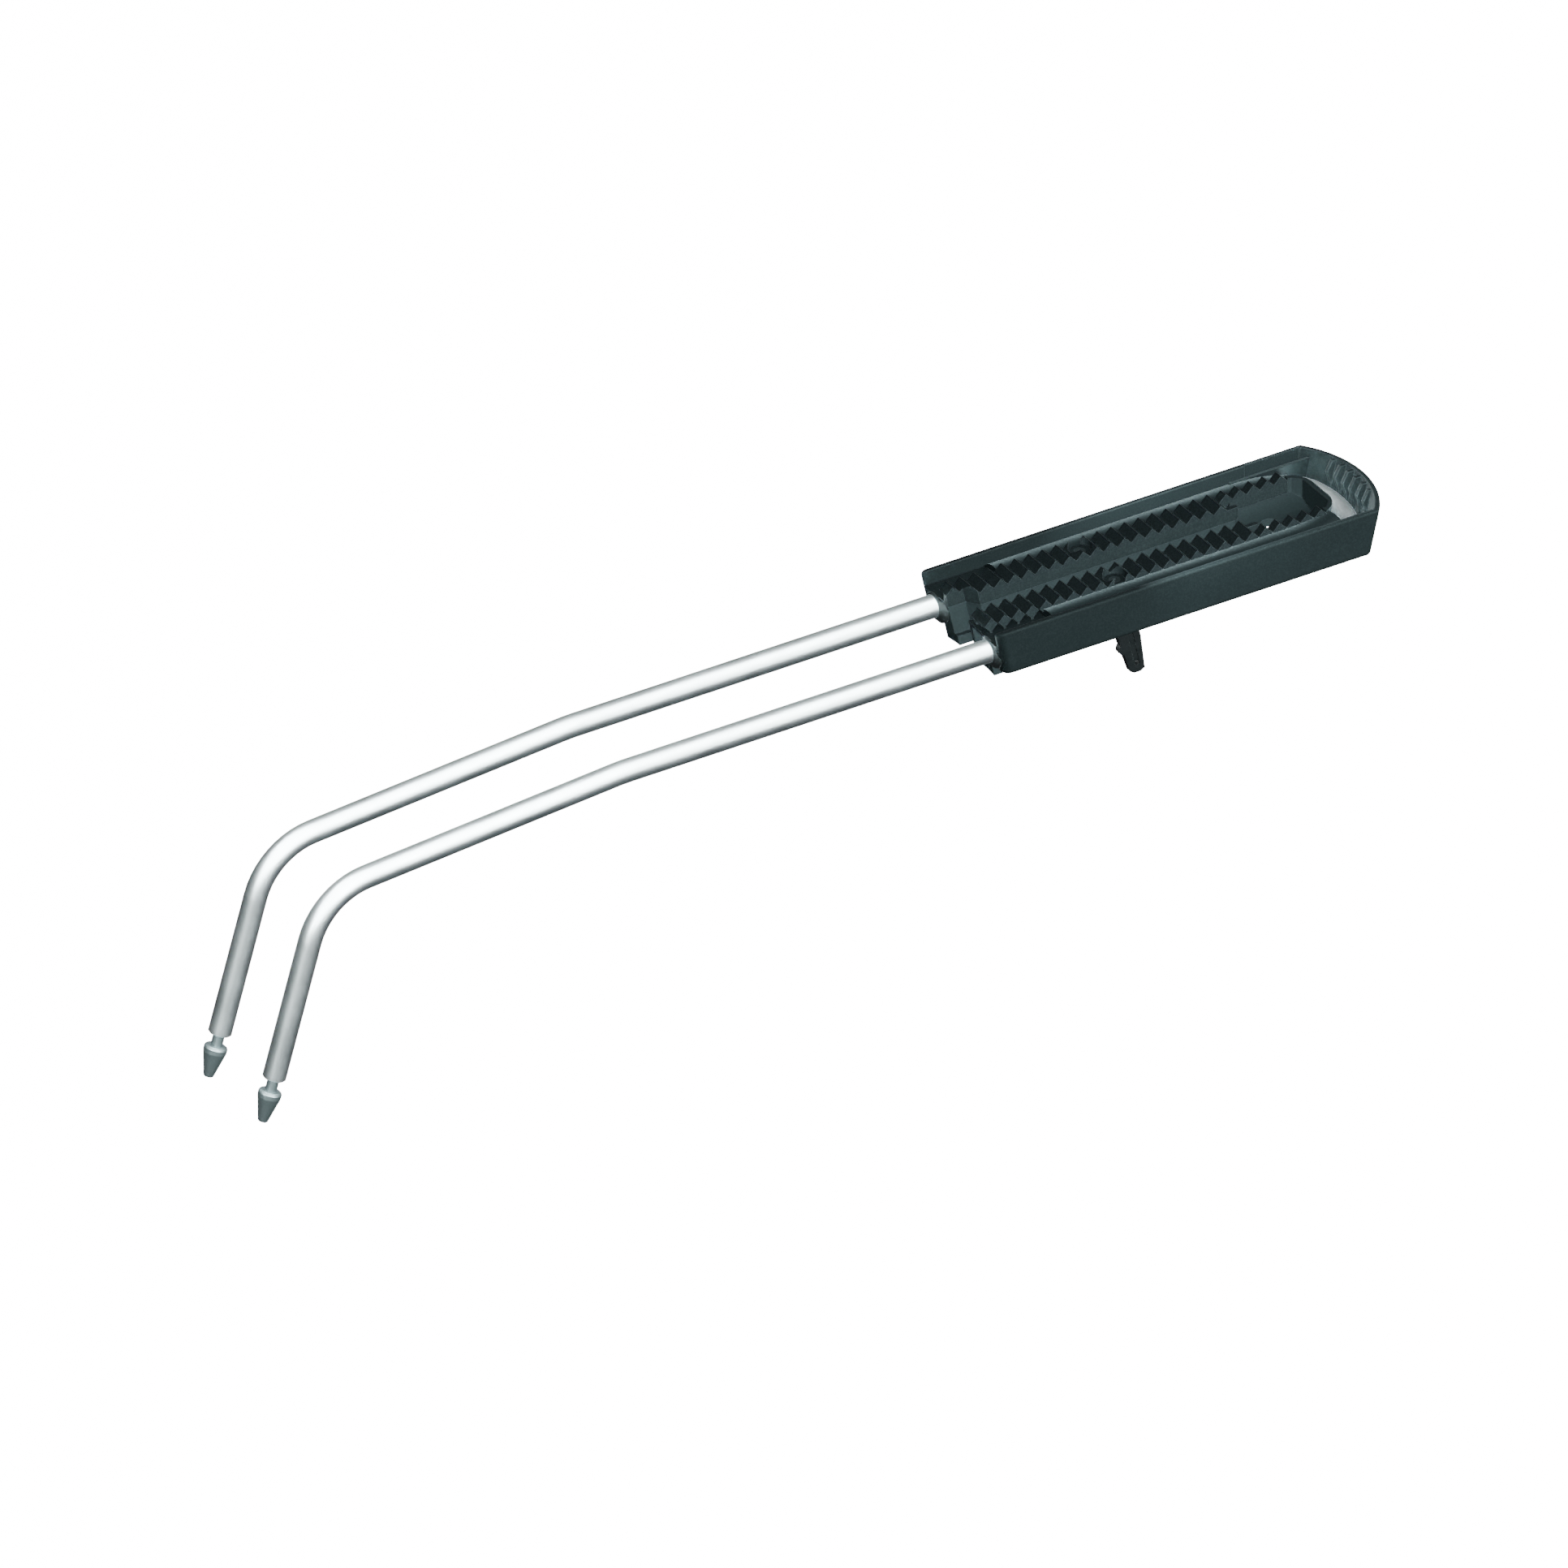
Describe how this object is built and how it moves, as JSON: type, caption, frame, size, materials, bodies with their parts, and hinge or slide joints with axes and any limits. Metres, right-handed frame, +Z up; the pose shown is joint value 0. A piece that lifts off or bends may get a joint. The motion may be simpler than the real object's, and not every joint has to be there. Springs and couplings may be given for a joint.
{
  "type": "security tag detacher",
  "caption": "Hand-held detacher with an open toothed grip, a bent two-leg steel bow ending in barbed tips, and a sprung lever under the grip.",
  "frame": {"origin": "bottom centre of the tool's bounding box: under the middle of its length, on its mid-plane, level with the ends of the barbed tips", "axes": "+X runs rearward along the grip, away from the tips; +Y to the tool's right for a user who holds the grip and looks towards the tips; +Z up, from the tips' ends to the open top of the grip"},
  "size_m": [0.3292, 0.0366, 0.0741],
  "materials": {
    "grip_plastic": "fine moulded texture, dark slate",
    "block_plastic": "fine moulded texture, dark slate",
    "rack_plastic": "fine moulded texture, dark slate",
    "cover_plastic": "smooth moulded, slight sheen",
    "bow_steel": "bright drawn and polished",
    "tip_steel": "turned and hardened, satin",
    "ferrule_steel": "turned, satin",
    "screw_steel": "blackened cap screws",
    "trigger_paint": "black powder coat",
    "pin_steel": "ground",
    "spring_steel": "drawn spring wire",
    "spacer_nylon": "natural nylon"
  },
  "bodies": {
    "handle": {"grip_shell": "grip_plastic", "channel_body": "block_plastic", "steel_bow": "bow_steel", "bow_saddle": "block_plastic", "rack_screws": "screw_steel", "keel_screws": "screw_steel", "saddle_screws": "screw_steel", "trigger_pin": "pin_steel", "trigger_spring": "spring_steel", "tip_left": "tip_steel", "tip_right": "tip_steel", "ferrule_left": "ferrule_steel", "ferrule_right": "ferrule_steel", "rod_cover_left": "cover_plastic", "rod_cover_right": "cover_plastic", "rack_left": "rack_plastic", "rack_right": "rack_plastic", "spacer_left": "spacer_nylon", "spacer_right": "spacer_nylon"},
    "trigger": {"trigger": "trigger_paint"}
  },
  "joints": [
    {"name": "trigger_pivot", "type": "hinge", "parent": "handle", "child": "trigger", "pos_m": [0.09259, 0, 0.06235], "axis": [0, -1, 0], "range_deg": [0, 15], "stiffness_Nm_per_rad": 0.06, "springref_deg": -20.05, "deforming": ["trigger_spring"]}
  ]
}
